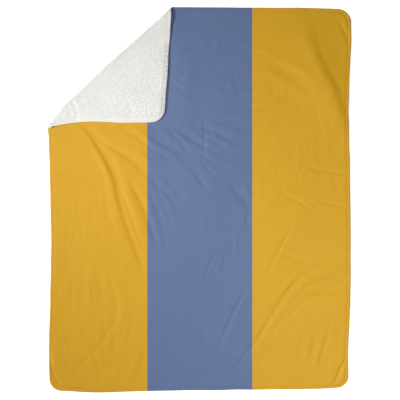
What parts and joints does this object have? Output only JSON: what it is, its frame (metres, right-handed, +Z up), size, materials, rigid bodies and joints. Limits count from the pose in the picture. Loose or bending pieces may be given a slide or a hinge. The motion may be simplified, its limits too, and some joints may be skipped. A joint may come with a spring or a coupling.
{
  "type": "fleece throw blanket",
  "caption": "Printed fleece throw with a curly pile back and three bands of colour, lying flat with one corner turned over.",
  "frame": {"origin": "on the surface that the throw lies on, under the middle of the cloth", "axes": "+Z up, +Y along the length towards the edge with the turned corner, +X across the width with the turned corner on the -X side"},
  "size_m": [1.3998, 1.7799, 0.0236],
  "materials": {
    "printed_fleece": "smooth brushed fleece, matt with a soft sheen, printed in three upright bands: mustard, slate blue, mustard",
    "sherpa_pile": "off-white curly sherpa pile, matt and nubby"
  },
  "bodies": {
    "root": {"face_panel": "printed_fleece", "sherpa_backing": "sherpa_pile"}
  },
  "joints": []
}
